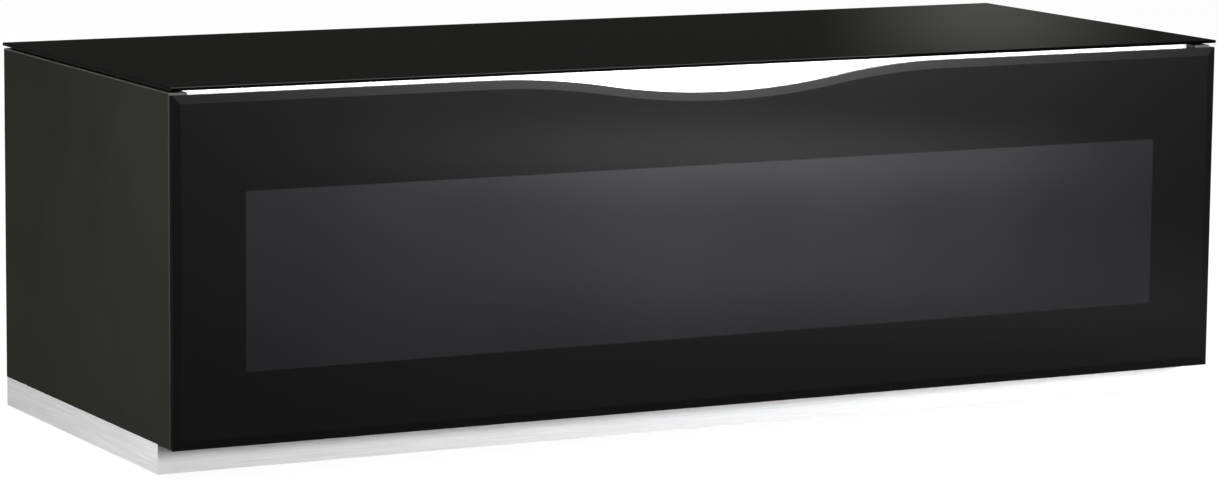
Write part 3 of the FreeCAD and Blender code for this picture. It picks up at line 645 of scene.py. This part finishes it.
class CABINET_OT_flap(CabinetOperator, bpy.types.Operator):
    """Builds the flap's glass with its wave, its facet and its ground back corner"""
    bl_idname = "cabinet.flap"
    bl_label = "Glass flap"

    def execute(self, context):
        flap = settings("flap")
        low, high = (Vector(corner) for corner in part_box("door_glass"))
        bend = (flap.wave_half ** 2 + flap.wave_depth ** 2) / (4 * flap.wave_depth)

        def outline(inset):
            """The glass's outline, moved inwards by an inset, from the lower left corner."""
            points = [(low.x + inset, low.z + inset), (high.x - inset, low.z + inset),
                      (high.x - inset, high.z - inset)]
            half_turn = math.asin(flap.wave_half / 2 / bend)
            steps = 24
            stretches = (
                (flap.wave_half, high.z - bend, bend - inset, 0, -half_turn),
                (0, high.z - flap.wave_depth + bend, -(bend + inset), -half_turn, half_turn),
                (-flap.wave_half, high.z - bend, bend - inset, half_turn, 0),
            )
            for number, (middle_x, middle_z, radius, start, end) in enumerate(stretches):
                for step in range(steps + 1):
                    if number and not step:
                        continue
                    angle = start + (end - start) * step / steps
                    points.append((middle_x + radius * math.sin(angle),
                                   middle_z + radius * math.cos(angle)))
            return points + [(low.x + inset, high.z - inset)]

        facet_width, facet_depth = self.facet()
        rings = ((flap.arris, high.y), (0, high.y - flap.arris), (0, low.y + facet_depth),
                 (facet_width, low.y))
        glass = bmesh.new()
        loops = [[glass.verts.new((x, deep, z)) for x, z in outline(inset)]
                 for inset, deep in rings]
        count = len(loops[0])
        for back, front in zip(loops, loops[1:]):
            for index in range(count):
                after = (index + 1) % count
                glass.faces.new((back[index], back[after], front[after], front[index]))
        glass.faces.new(list(reversed(loops[0])))
        glass.faces.new(loops[-1])
        bmesh.ops.recalc_face_normals(glass, faces=glass.faces)
        # the facet slopes by only a few degrees, and still has to meet the front in a crisp line
        facet_is_sharp = math.radians(1.5)
        new_piece("flap_sheet", glass, "flap", "flap_glass", "flap", "door_glass",
                  sharp=facet_is_sharp)
        return {"FINISHED"}

    def facet(self):
        """The width and the depth of the facet round the front, measured on the CAD glass."""
        corners = [corner.co for corner in frame["nodes"]["door_glass"].data.vertices]
        side, front = (min(corner[axis] for corner in corners) for axis in (0, 1))
        just_behind = front + 0.01 * MM
        face = [corner.x for corner in corners if corner.y < just_behind]
        behind = [corner.y for corner in corners if corner.y >= just_behind]
        return min(face) - side, min(behind) - front


class CABINET_OT_rail(CabinetOperator, bpy.types.Operator):
    """Finishes the aluminium rail behind the flap's top edge"""
    bl_idname = "cabinet.rail"
    bl_label = "Front rail"

    def execute(self, context):
        # the rail's finish glows with painted light
        paint("rail", "front_rail")
        return {"FINISHED"}


class CABINET_OT_plinth(CabinetOperator, bpy.types.Operator):
    """Brushes the plinth's boards along their length, and finishes what stands behind them"""
    bl_idname = "cabinet.plinth"
    bl_label = "Plinth and glides"

    def execute(self, context):
        paint("plinth_x", "plinth_front", "plinth_back")
        paint("plinth_y", "plinth_left", "plinth_right")
        paint("beech", "plinth_blocks", "plinth_stretcher", "dowels")
        glides = bmesh.new()
        # the foot's rounded edge, in millimetres in from the rim and up from the floor
        foot = ((1.5, 0), (0.5, 0.4), (0, 1.2))
        for low, high in solids_of("floor_glides"):
            centre, radius, tall = (low + high) / 2, (high.x - low.x) / 2, high.z - low.z
            profile = [(radius - inset * MM, up * MM) for inset, up in foot] + [(radius, tall)]
            turn(glides, profile, Matrix.Translation((centre.x, centre.y, low.z)), 40)
        new_piece("moulded_glides", glides, "cabinet", "moulded_plastic", "plastic", "floor_glides")
        return {"FINISHED"}


class CABINET_OT_hinges(CabinetOperator, bpy.types.Operator):
    """Plates the hinge leaves, and gives each hinge pin peened ends"""
    bl_idname = "cabinet.hinges"
    bl_label = "Hinges"

    def execute(self, context):
        chamfer = 0.4 * MM
        for name in THREE:
            paint("nickel", "hinge_leaf_fixed_" + name, "hinge_leaf_door_" + name)
            low, high = (Vector(corner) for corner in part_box("hinge_pin_" + name))
            centre, radius, long = (low + high) / 2, (high.z - low.z) / 2, high.x - low.x
            profile = [(radius - chamfer, 0), (radius, chamfer), (radius, long - chamfer),
                       (radius - chamfer, long)]
            pin = bmesh.new()
            turn(pin, profile, pose_along((low.x, centre.y, centre.z), (1, 0, 0)), 24)
            new_piece("peened_pin_" + name, pin, "cabinet", "nickelled_steel", "nickel",
                      "hinge_pin_" + name)
        return {"FINISHED"}


class CABINET_OT_stays(CabinetOperator, bpy.types.Operator):
    """Finishes the braked stays, and puts a washer and a peened head on each of their pins"""
    bl_idname = "cabinet.stays"
    bl_label = "Braked stays"

    def execute(self, context):
        joints = {joint["name"]: joint for joint in frame["joints"]}
        washer = settings("fittings").washer_radius
        # the washer's clearance, thickness and chamfer (in and up), then the peened head on it
        gap, thick, chamfer_in, chamfer_up = 0.1 * MM, 0.6 * MM, 0.2 * MM, 0.15 * MM
        head, head_top = 2.9 * MM, 1.7 * MM
        profile = [(washer - chamfer_in, 0), (washer, chamfer_up), (washer, thick - chamfer_up),
                   (washer - chamfer_in, thick), *dome(head, thick, head_top)]
        for name, side in ENDS:
            paint("track", "stay_track_" + name)
            paint("nickel", "stay_arm_" + name, "stay_bracket_" + name)
            paint("acetal", "stay_block_" + name)
            arm_low, arm_high = (Vector(corner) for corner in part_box("stay_arm_" + name))
            outer = max(abs(arm_low.x), abs(arm_high.x))
            inner = min(abs(arm_low.x), abs(arm_high.x))
            # the bracket's pin is peened over the arm's outer face, the block's over its inner one
            heads = (("bracket_rivet_" + name, "stay_arm_%s_pivot" % name, "flap", outer, side),
                     ("block_rivet_" + name, "brake_block_%s_pivot" % name, "brake_" + name, inner,
                      -side))
            for piece_name, joint, body, face, outwards in heads:
                place = joints[joint]["pos_m"]
                start = (side * face + outwards * gap, place[1], place[2])
                rivet = bmesh.new()
                turn(rivet, profile, pose_along(start, (outwards, 0, 0)), 32)
                new_piece(piece_name, rivet, body, "nickelled_steel", "nickel")
        return {"FINISHED"}


class CABINET_OT_catches(CabinetOperator, bpy.types.Operator):
    """Builds the magnet catches, their strike plates and the soft buffers"""
    bl_idname = "cabinet.catches"
    bl_label = "Catches and buffers"

    def execute(self, context):
        rounding = settings("fittings").edge_round
        # two pole plates stand proud of the housing, in from its ends and either side of its middle
        proud, end, deep, shifts = 0.8 * MM, 4 * MM, 3 * MM, (-4, 4)
        plate_round, strike_round = 0.2 * MM, 0.3 * MM
        for name, _ in ENDS:
            low, high = (Vector(corner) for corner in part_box("magnet_catch_" + name))
            housing = bmesh.new()
            soft_box(housing, low + Vector((0, proud, 0)), high, rounding)
            new_piece("catch_housing_" + name, housing, "cabinet", "moulded_plastic", "plastic",
                      "magnet_catch_" + name)
            poles = bmesh.new()
            middle = (low + high) / 2
            for shift in shifts:
                soft_box(poles, (low.x + end, low.y, middle.z + (shift - 1) * MM),
                         (high.x - end, low.y + deep, middle.z + (shift + 1) * MM), plate_round, 2)
            new_piece("catch_poles_" + name, poles, "cabinet", "nickelled_steel", "nickel")
            strike_low, strike_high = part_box("strike_plate_" + name)
            strike = bmesh.new()
            soft_box(strike, strike_low, strike_high, strike_round)
            new_piece("stamped_strike_" + name, strike, "flap", "nickelled_steel", "nickel",
                      "strike_plate_" + name)
        buffers = bmesh.new()
        for low, high in solids_of("door_buffers"):
            centre, radius, tall = (low + high) / 2, (high.x - low.x) / 2, high.y - low.y
            turn(buffers, dome(radius, 0, tall, 7),
                 pose_along((centre.x, high.y, centre.z), (0, -1, 0)), 32)
        new_piece("soft_buffers", buffers, "cabinet", "clear_silicone", "silicone", "door_buffers")
        return {"FINISHED"}


class CABINET_OT_fasteners(CabinetOperator, bpy.types.Operator):
    """Builds the screws with their cross recesses, the cams and the shelf pins"""
    bl_idname = "cabinet.fasteners"
    bl_label = "Fasteners"

    def execute(self, context):
        self.screws("back_screws", (0, -1, 0))
        self.screws("hinge_screws", (0, 0, 1))
        self.screws("rail_screws", (0, 0, 1))
        self.cams()
        self.shelf_pins()
        paint("zinc", "cam_bolts", "track_screws", "frame_bolts")
        return {"FINISHED"}

    def screws(self, node, direction):
        """Replaces a group of plain screws, which all point the same way."""
        axis = [abs(part) for part in direction].index(1)
        tall = 1.5 * MM  # the head's height
        made = bmesh.new()
        for low, high in solids_of(node):
            seat = (low + high) / 2
            head = (high - low)[(axis + 1) % 3] / 2
            long = (high - low)[axis] - tall
            if direction[axis] > 0:
                seat[axis] = low[axis] + tall
            else:
                seat[axis] = high[axis] - tall
            wood_screw(made, seat, direction, head, tall, head / 2, long)
        new_piece("cross_" + node, made, "cabinet", "zinc_fitting", "zinc", node)

    def cams(self):
        """Die-cast cam housings with a driver's cross in the face that shows."""
        hidden_chamfer, shown_chamfer, cross_depth = 0.3 * MM, 0.4 * MM, 2.5 * MM
        cross_share = 0.75  # the cross is cut as for a head with this share of the cam's radius
        made = bmesh.new()
        for low, high in solids_of("cam_housings"):
            centre, radius, tall = (low + high) / 2, (high.x - low.x) / 2, high.z - low.z
            disc = bmesh.new()
            profile = [(radius - hidden_chamfer, -tall), (radius, -tall + hidden_chamfer),
                       (radius, -shown_chamfer), (radius - shown_chamfer, 0)]
            turn(disc, profile, Matrix(), 40)
            matrix = pose_along((centre.x, centre.y, low.z), (0, 0, -1))
            join(made, cross_cut(disc, radius * cross_share, matrix, cross_depth, 0))
        new_piece("cast_cams", made, "cabinet", "zinc_fitting", "zinc", "cam_housings")

    def shelf_pins(self):
        """Turned shelf pins with domed ends."""
        bulge = 0.6  # how far the ends are domed, as a share of the pin's radius
        made = bmesh.new()
        for low, high in solids_of("shelf_pins"):
            centre, radius, long = (low + high) / 2, (high.z - low.z) / 2, high.x - low.x
            end = dome(radius, long - radius * bulge, long)
            start = [(point[0], long - point[1]) for point in reversed(end)]
            turn(made, start + end, pose_along((low.x, centre.y, centre.z), (1, 0, 0)), 28)
        new_piece("turned_shelf_pins", made, "cabinet", "nickelled_steel", "nickel", "shelf_pins")


# ---- studio ----

def look_along(yaw, pitch, roll):
    """The rotation of a camera turned from +Y towards +X, tilted up and rolled."""
    ahead = Vector((math.sin(yaw) * math.cos(pitch), math.cos(yaw) * math.cos(pitch),
                    math.sin(pitch)))
    right = Vector((math.cos(yaw), -math.sin(yaw), 0))
    up = right.cross(ahead)
    side = math.cos(roll) * right + math.sin(roll) * up
    above = -math.sin(roll) * right + math.cos(roll) * up
    return Matrix((side, above, -ahead)).transposed().to_4x4()


def hang(name, light, place, target):
    """Puts a light up at a place, turned to a target and hidden from the camera."""
    holder = bpy.data.objects.new(name, light)
    holder.visible_camera = False
    bpy.context.scene.collection.objects.link(holder)
    towards = Vector(target) - Vector(place)
    holder.matrix_world = (Matrix.Translation(place)
                           @ towards.to_track_quat("-Z", "Y").to_matrix().to_4x4())
    return holder


def softbox(name, place, target, size, watts):
    """A rectangular area light that faces a target."""
    light = bpy.data.lights.new(name, "AREA")
    light.shape = "RECTANGLE"
    light.size, light.size_y = size
    light.energy = watts
    return hang(name, light, place, target)


def pool(name, place, watts, cone_degrees):
    """A spot light that shines straight down, for a round pool of light with a soft edge."""
    light = bpy.data.lights.new(name, "SPOT")
    light.energy = watts
    light.spot_size = math.radians(cone_degrees)
    light.spot_blend = 1.0
    light.shadow_soft_size = 0.3
    return hang(name, light, place, (place[0], place[1], 0))


class CABINET_OT_stage(CabinetOperator, bpy.types.Operator):
    """Sets up the pale floor, the soft lights and the camera"""
    bl_idname = "cabinet.stage"
    bl_label = "Studio"

    def execute(self, context):
        self.floor()
        self.room()
        self.lights()
        self.camera()
        context.scene.view_settings.view_transform = "Standard"
        return {"FINISHED"}

    def floor(self):
        """A pale seamless floor: white to the camera, a softer grey to everything it lights."""
        half = settings("studio").floor_half
        mesh = bmesh.new()
        bmesh.ops.create_grid(mesh, x_segments=8, y_segments=8, size=half)
        data = bpy.data.meshes.new("studio_floor")
        mesh.to_mesh(data)
        mesh.free()
        floor = bpy.data.objects.new("studio_floor", data)
        bpy.context.scene.collection.objects.link(floor)
        material, tree, shader, place = start_material(
            "matt_white_paper", {"Roughness": 0.9, "Specular IOR Level": 0.1})
        # painted shade, as from a flag: the floor that the flap mirrors is darker to the right of a
        # slanted line through the cabinet's middle, and only from about a metre out in front of it
        across = add(tree, "ShaderNodeVectorMath", {0: place, 1: (0.8, 0.6, 0)},
                     operation="DOT_PRODUCT").outputs["Value"]
        to_right = add(tree, "ShaderNodeMapRange", {"Value": across, "From Min": -0.05,
                                                    "From Max": 0.15},
                       interpolation_type="SMOOTHSTEP").outputs["Result"]
        ahead = add(tree, "ShaderNodeSeparateXYZ", {0: place}).outputs["Y"]
        in_front = add(tree, "ShaderNodeMapRange", {"Value": ahead, "From Min": -1.6,
                                                    "From Max": -0.9, "To Min": 1,
                                                    "To Max": 0}).outputs["Result"]
        shade = add(tree, "ShaderNodeMath", {0: to_right, 1: in_front},
                    operation="MULTIPLY").outputs[0]
        grey = add(tree, "ShaderNodeMix", {0: shade, 6: linear("747474"), 7: linear("2c2c2c")},
                   data_type="RGBA").outputs[2]
        tree.links.new(grey, shader.inputs["Base Color"])
        white = add(tree, "ShaderNodeEmission", {"Color": linear("ffffff"), "Strength": 0.95})
        seen = add(tree, "ShaderNodeLightPath").outputs["Is Camera Ray"]
        glow = add(tree, "ShaderNodeMixShader", {0: seen, 2: white.outputs[0]})
        total = add(tree, "ShaderNodeAddShader", {0: shader.outputs[0], 1: glow.outputs[0]})
        tree.links.new(total.outputs[0], tree.nodes["Material Output"].inputs["Surface"])
        data.materials.append(material)

    def room(self):
        """A dark studio that the gloss reflects, with a pale backdrop where the camera sees it."""
        world = bpy.data.worlds.new("studio")
        world.use_nodes = True
        bpy.context.scene.world = world
        tree = world.node_tree
        studio = settings("studio")
        way = add(tree, "ShaderNodeSeparateXYZ",
                  {0: add(tree, "ShaderNodeTexCoord").outputs["Generated"]})
        turned = add(tree, "ShaderNodeMath", {0: way.outputs["X"], 1: way.outputs["Y"]},
                     operation="ARCTAN2").outputs[0]
        away = add(tree, "ShaderNodeMath", {0: turned, 1: studio.patch_turn},
                   operation="SUBTRACT").outputs[0]
        away = add(tree, "ShaderNodeMath", {0: away}, operation="ABSOLUTE").outputs[0]
        near = add(tree, "ShaderNodeMapRange", {"Value": away, "From Min": 0,
                                                "From Max": studio.patch_half, "To Min": 1,
                                                "To Max": 0},
                   interpolation_type="SMOOTHSTEP").outputs["Result"]
        # the patch stands low, and fades out between about 5.3 and 6.7 degrees above the horizon
        low = add(tree, "ShaderNodeMapRange", {"Value": way.outputs["Z"], "From Min": 0.092,
                                               "From Max": 0.116, "To Min": studio.patch_light,
                                               "To Max": 0},
                  interpolation_type="SMOOTHSTEP").outputs["Result"]
        strength = add(tree, "ShaderNodeMath", {0: near, 1: low, 2: studio.room_light},
                       operation="MULTIPLY_ADD").outputs[0]
        dark = tree.nodes["Background"]
        dark.inputs["Color"].default_value = linear("f2f5ec")
        tree.links.new(strength, dark.inputs["Strength"])
        pale = add(tree, "ShaderNodeBackground", {"Color": linear("ffffff"), "Strength": 1.0})
        seen = add(tree, "ShaderNodeLightPath").outputs["Is Camera Ray"]
        both = add(tree, "ShaderNodeMixShader", {0: seen, 1: dark.outputs[0], 2: pale.outputs[0]})
        tree.links.new(both.outputs[0], tree.nodes["World Output"].inputs["Surface"])

    def lights(self):
        middle = (0, 0, 0.2)
        softbox("overhead_softbox", (0.2, -0.2, 3.0), middle, (4.0, 2.6), 52)
        left = softbox("left_softbox", (-1.6, -1.1, 0.9), (-0.55, 0, 0.2), (0.8, 0.6), 52)
        front = softbox("front_softbox", (1.5, -3.0, 0.9), middle, (0.8, 0.8), 158)
        base = softbox("base_softbox", (1.5, -3.0, 0.9), middle, (0.8, 0.8), 93)
        back = softbox("back_softbox", (-1.6, 3.6, 2.2), middle, (2.4, 1.2), 30)
        right = softbox("right_softbox", (2.6, -1.0, 1.2), middle, (1.2, 1.2), 40)
        low = softbox("low_softbox", (1.6, -1.6, 0.12), (0.3, -0.17, 0.015), (0.5, 0.12), 13)
        # pools of light on the floor, for the flap to mirror
        pool("window_pool", (1.06, -2.05, 2.4), 2200, 25)
        pool("near_pool", (0.62, -1.1, 1.8), 430, 34)
        pool("corner_pool", (0.82, -0.52, 1.2), 190, 24)
        # every softbox but the overhead one is kept off the cover, which would mirror it as a hard
        # bright patch
        self.flag((back,), ("top_glass",))
        self.flag((front,), ("studio_floor", "top_glass", "plinth_front"))
        # the side lights and the two that are kept for the plinth also stay off the flap
        self.flag((right, base, low), ("studio_floor", "top_glass", "flap_sheet"))
        self.flag((left,), ("studio_floor", "top_glass", "flap_sheet", "plinth_front"))

    def flag(self, lights, things):
        """Keeps the light of some lamps off some things, as a studio's black flags do."""
        unlit = bpy.data.collections.new("flagged_off")
        for name in things:
            unlit.objects.link(bpy.data.objects[name])
        for entry in unlit.collection_objects:
            entry.light_linking.link_state = "EXCLUDE"
        for light in lights:
            light.light_linking.receiver_collection = unlit

    def camera(self):
        studio = settings("studio")
        data = bpy.data.cameras.new("studio_camera")
        data.sensor_width = 36
        data.lens = studio.lens_mm
        data.dof.use_dof = False
        data.clip_end = 100
        camera = bpy.data.objects.new("studio_camera", data)
        bpy.context.scene.collection.objects.link(camera)
        camera.matrix_world = (Matrix.Translation(studio.camera_place)
                               @ look_along(studio.yaw, studio.pitch, studio.roll))
        bpy.context.scene.camera = camera


OPERATORS = (
    CABINET_OT_case, CABINET_OT_back, CABINET_OT_cover, CABINET_OT_flap, CABINET_OT_rail,
    CABINET_OT_plinth, CABINET_OT_hinges, CABINET_OT_stays, CABINET_OT_catches,
    CABINET_OT_fasteners, CABINET_OT_stage,
)
GROUPS = {
    "colours": CabinetColours, "flap": CabinetFlap, "fittings": CabinetFittings,
    "studio": CabinetStudio,
}


class CABINET_PT_sidebar(bpy.types.Panel):
    """The cabinet's operators and settings"""
    bl_idname = "CABINET_PT_sidebar"
    bl_label = "Media cabinet"
    bl_space_type = "VIEW_3D"
    bl_region_type = "UI"
    bl_category = "Cabinet"

    def draw(self, context):
        for group, kind in GROUPS.items():
            box = self.layout.box()
            box.label(text=group.capitalize())
            for prop in kind.__annotations__:
                box.prop(settings(group), prop)
        for operator in OPERATORS:
            self.layout.operator(operator.bl_idname)


def register():
    for kind in (*GROUPS.values(), *OPERATORS, CABINET_PT_sidebar):
        bpy.utils.register_class(kind)
    for group, kind in GROUPS.items():
        setattr(bpy.types.Scene, "cabinet_" + group, bpy.props.PointerProperty(type=kind))


def unregister():
    for group in GROUPS:
        delattr(bpy.types.Scene, "cabinet_" + group)
    for kind in reversed((*GROUPS.values(), *OPERATORS, CABINET_PT_sidebar)):
        bpy.utils.unregister_class(kind)


def main():
    register()
    for operator in OPERATORS:
        getattr(bpy.ops.cabinet, operator.bl_idname.split(".")[1])()


if __name__ == "__main__":
    main()
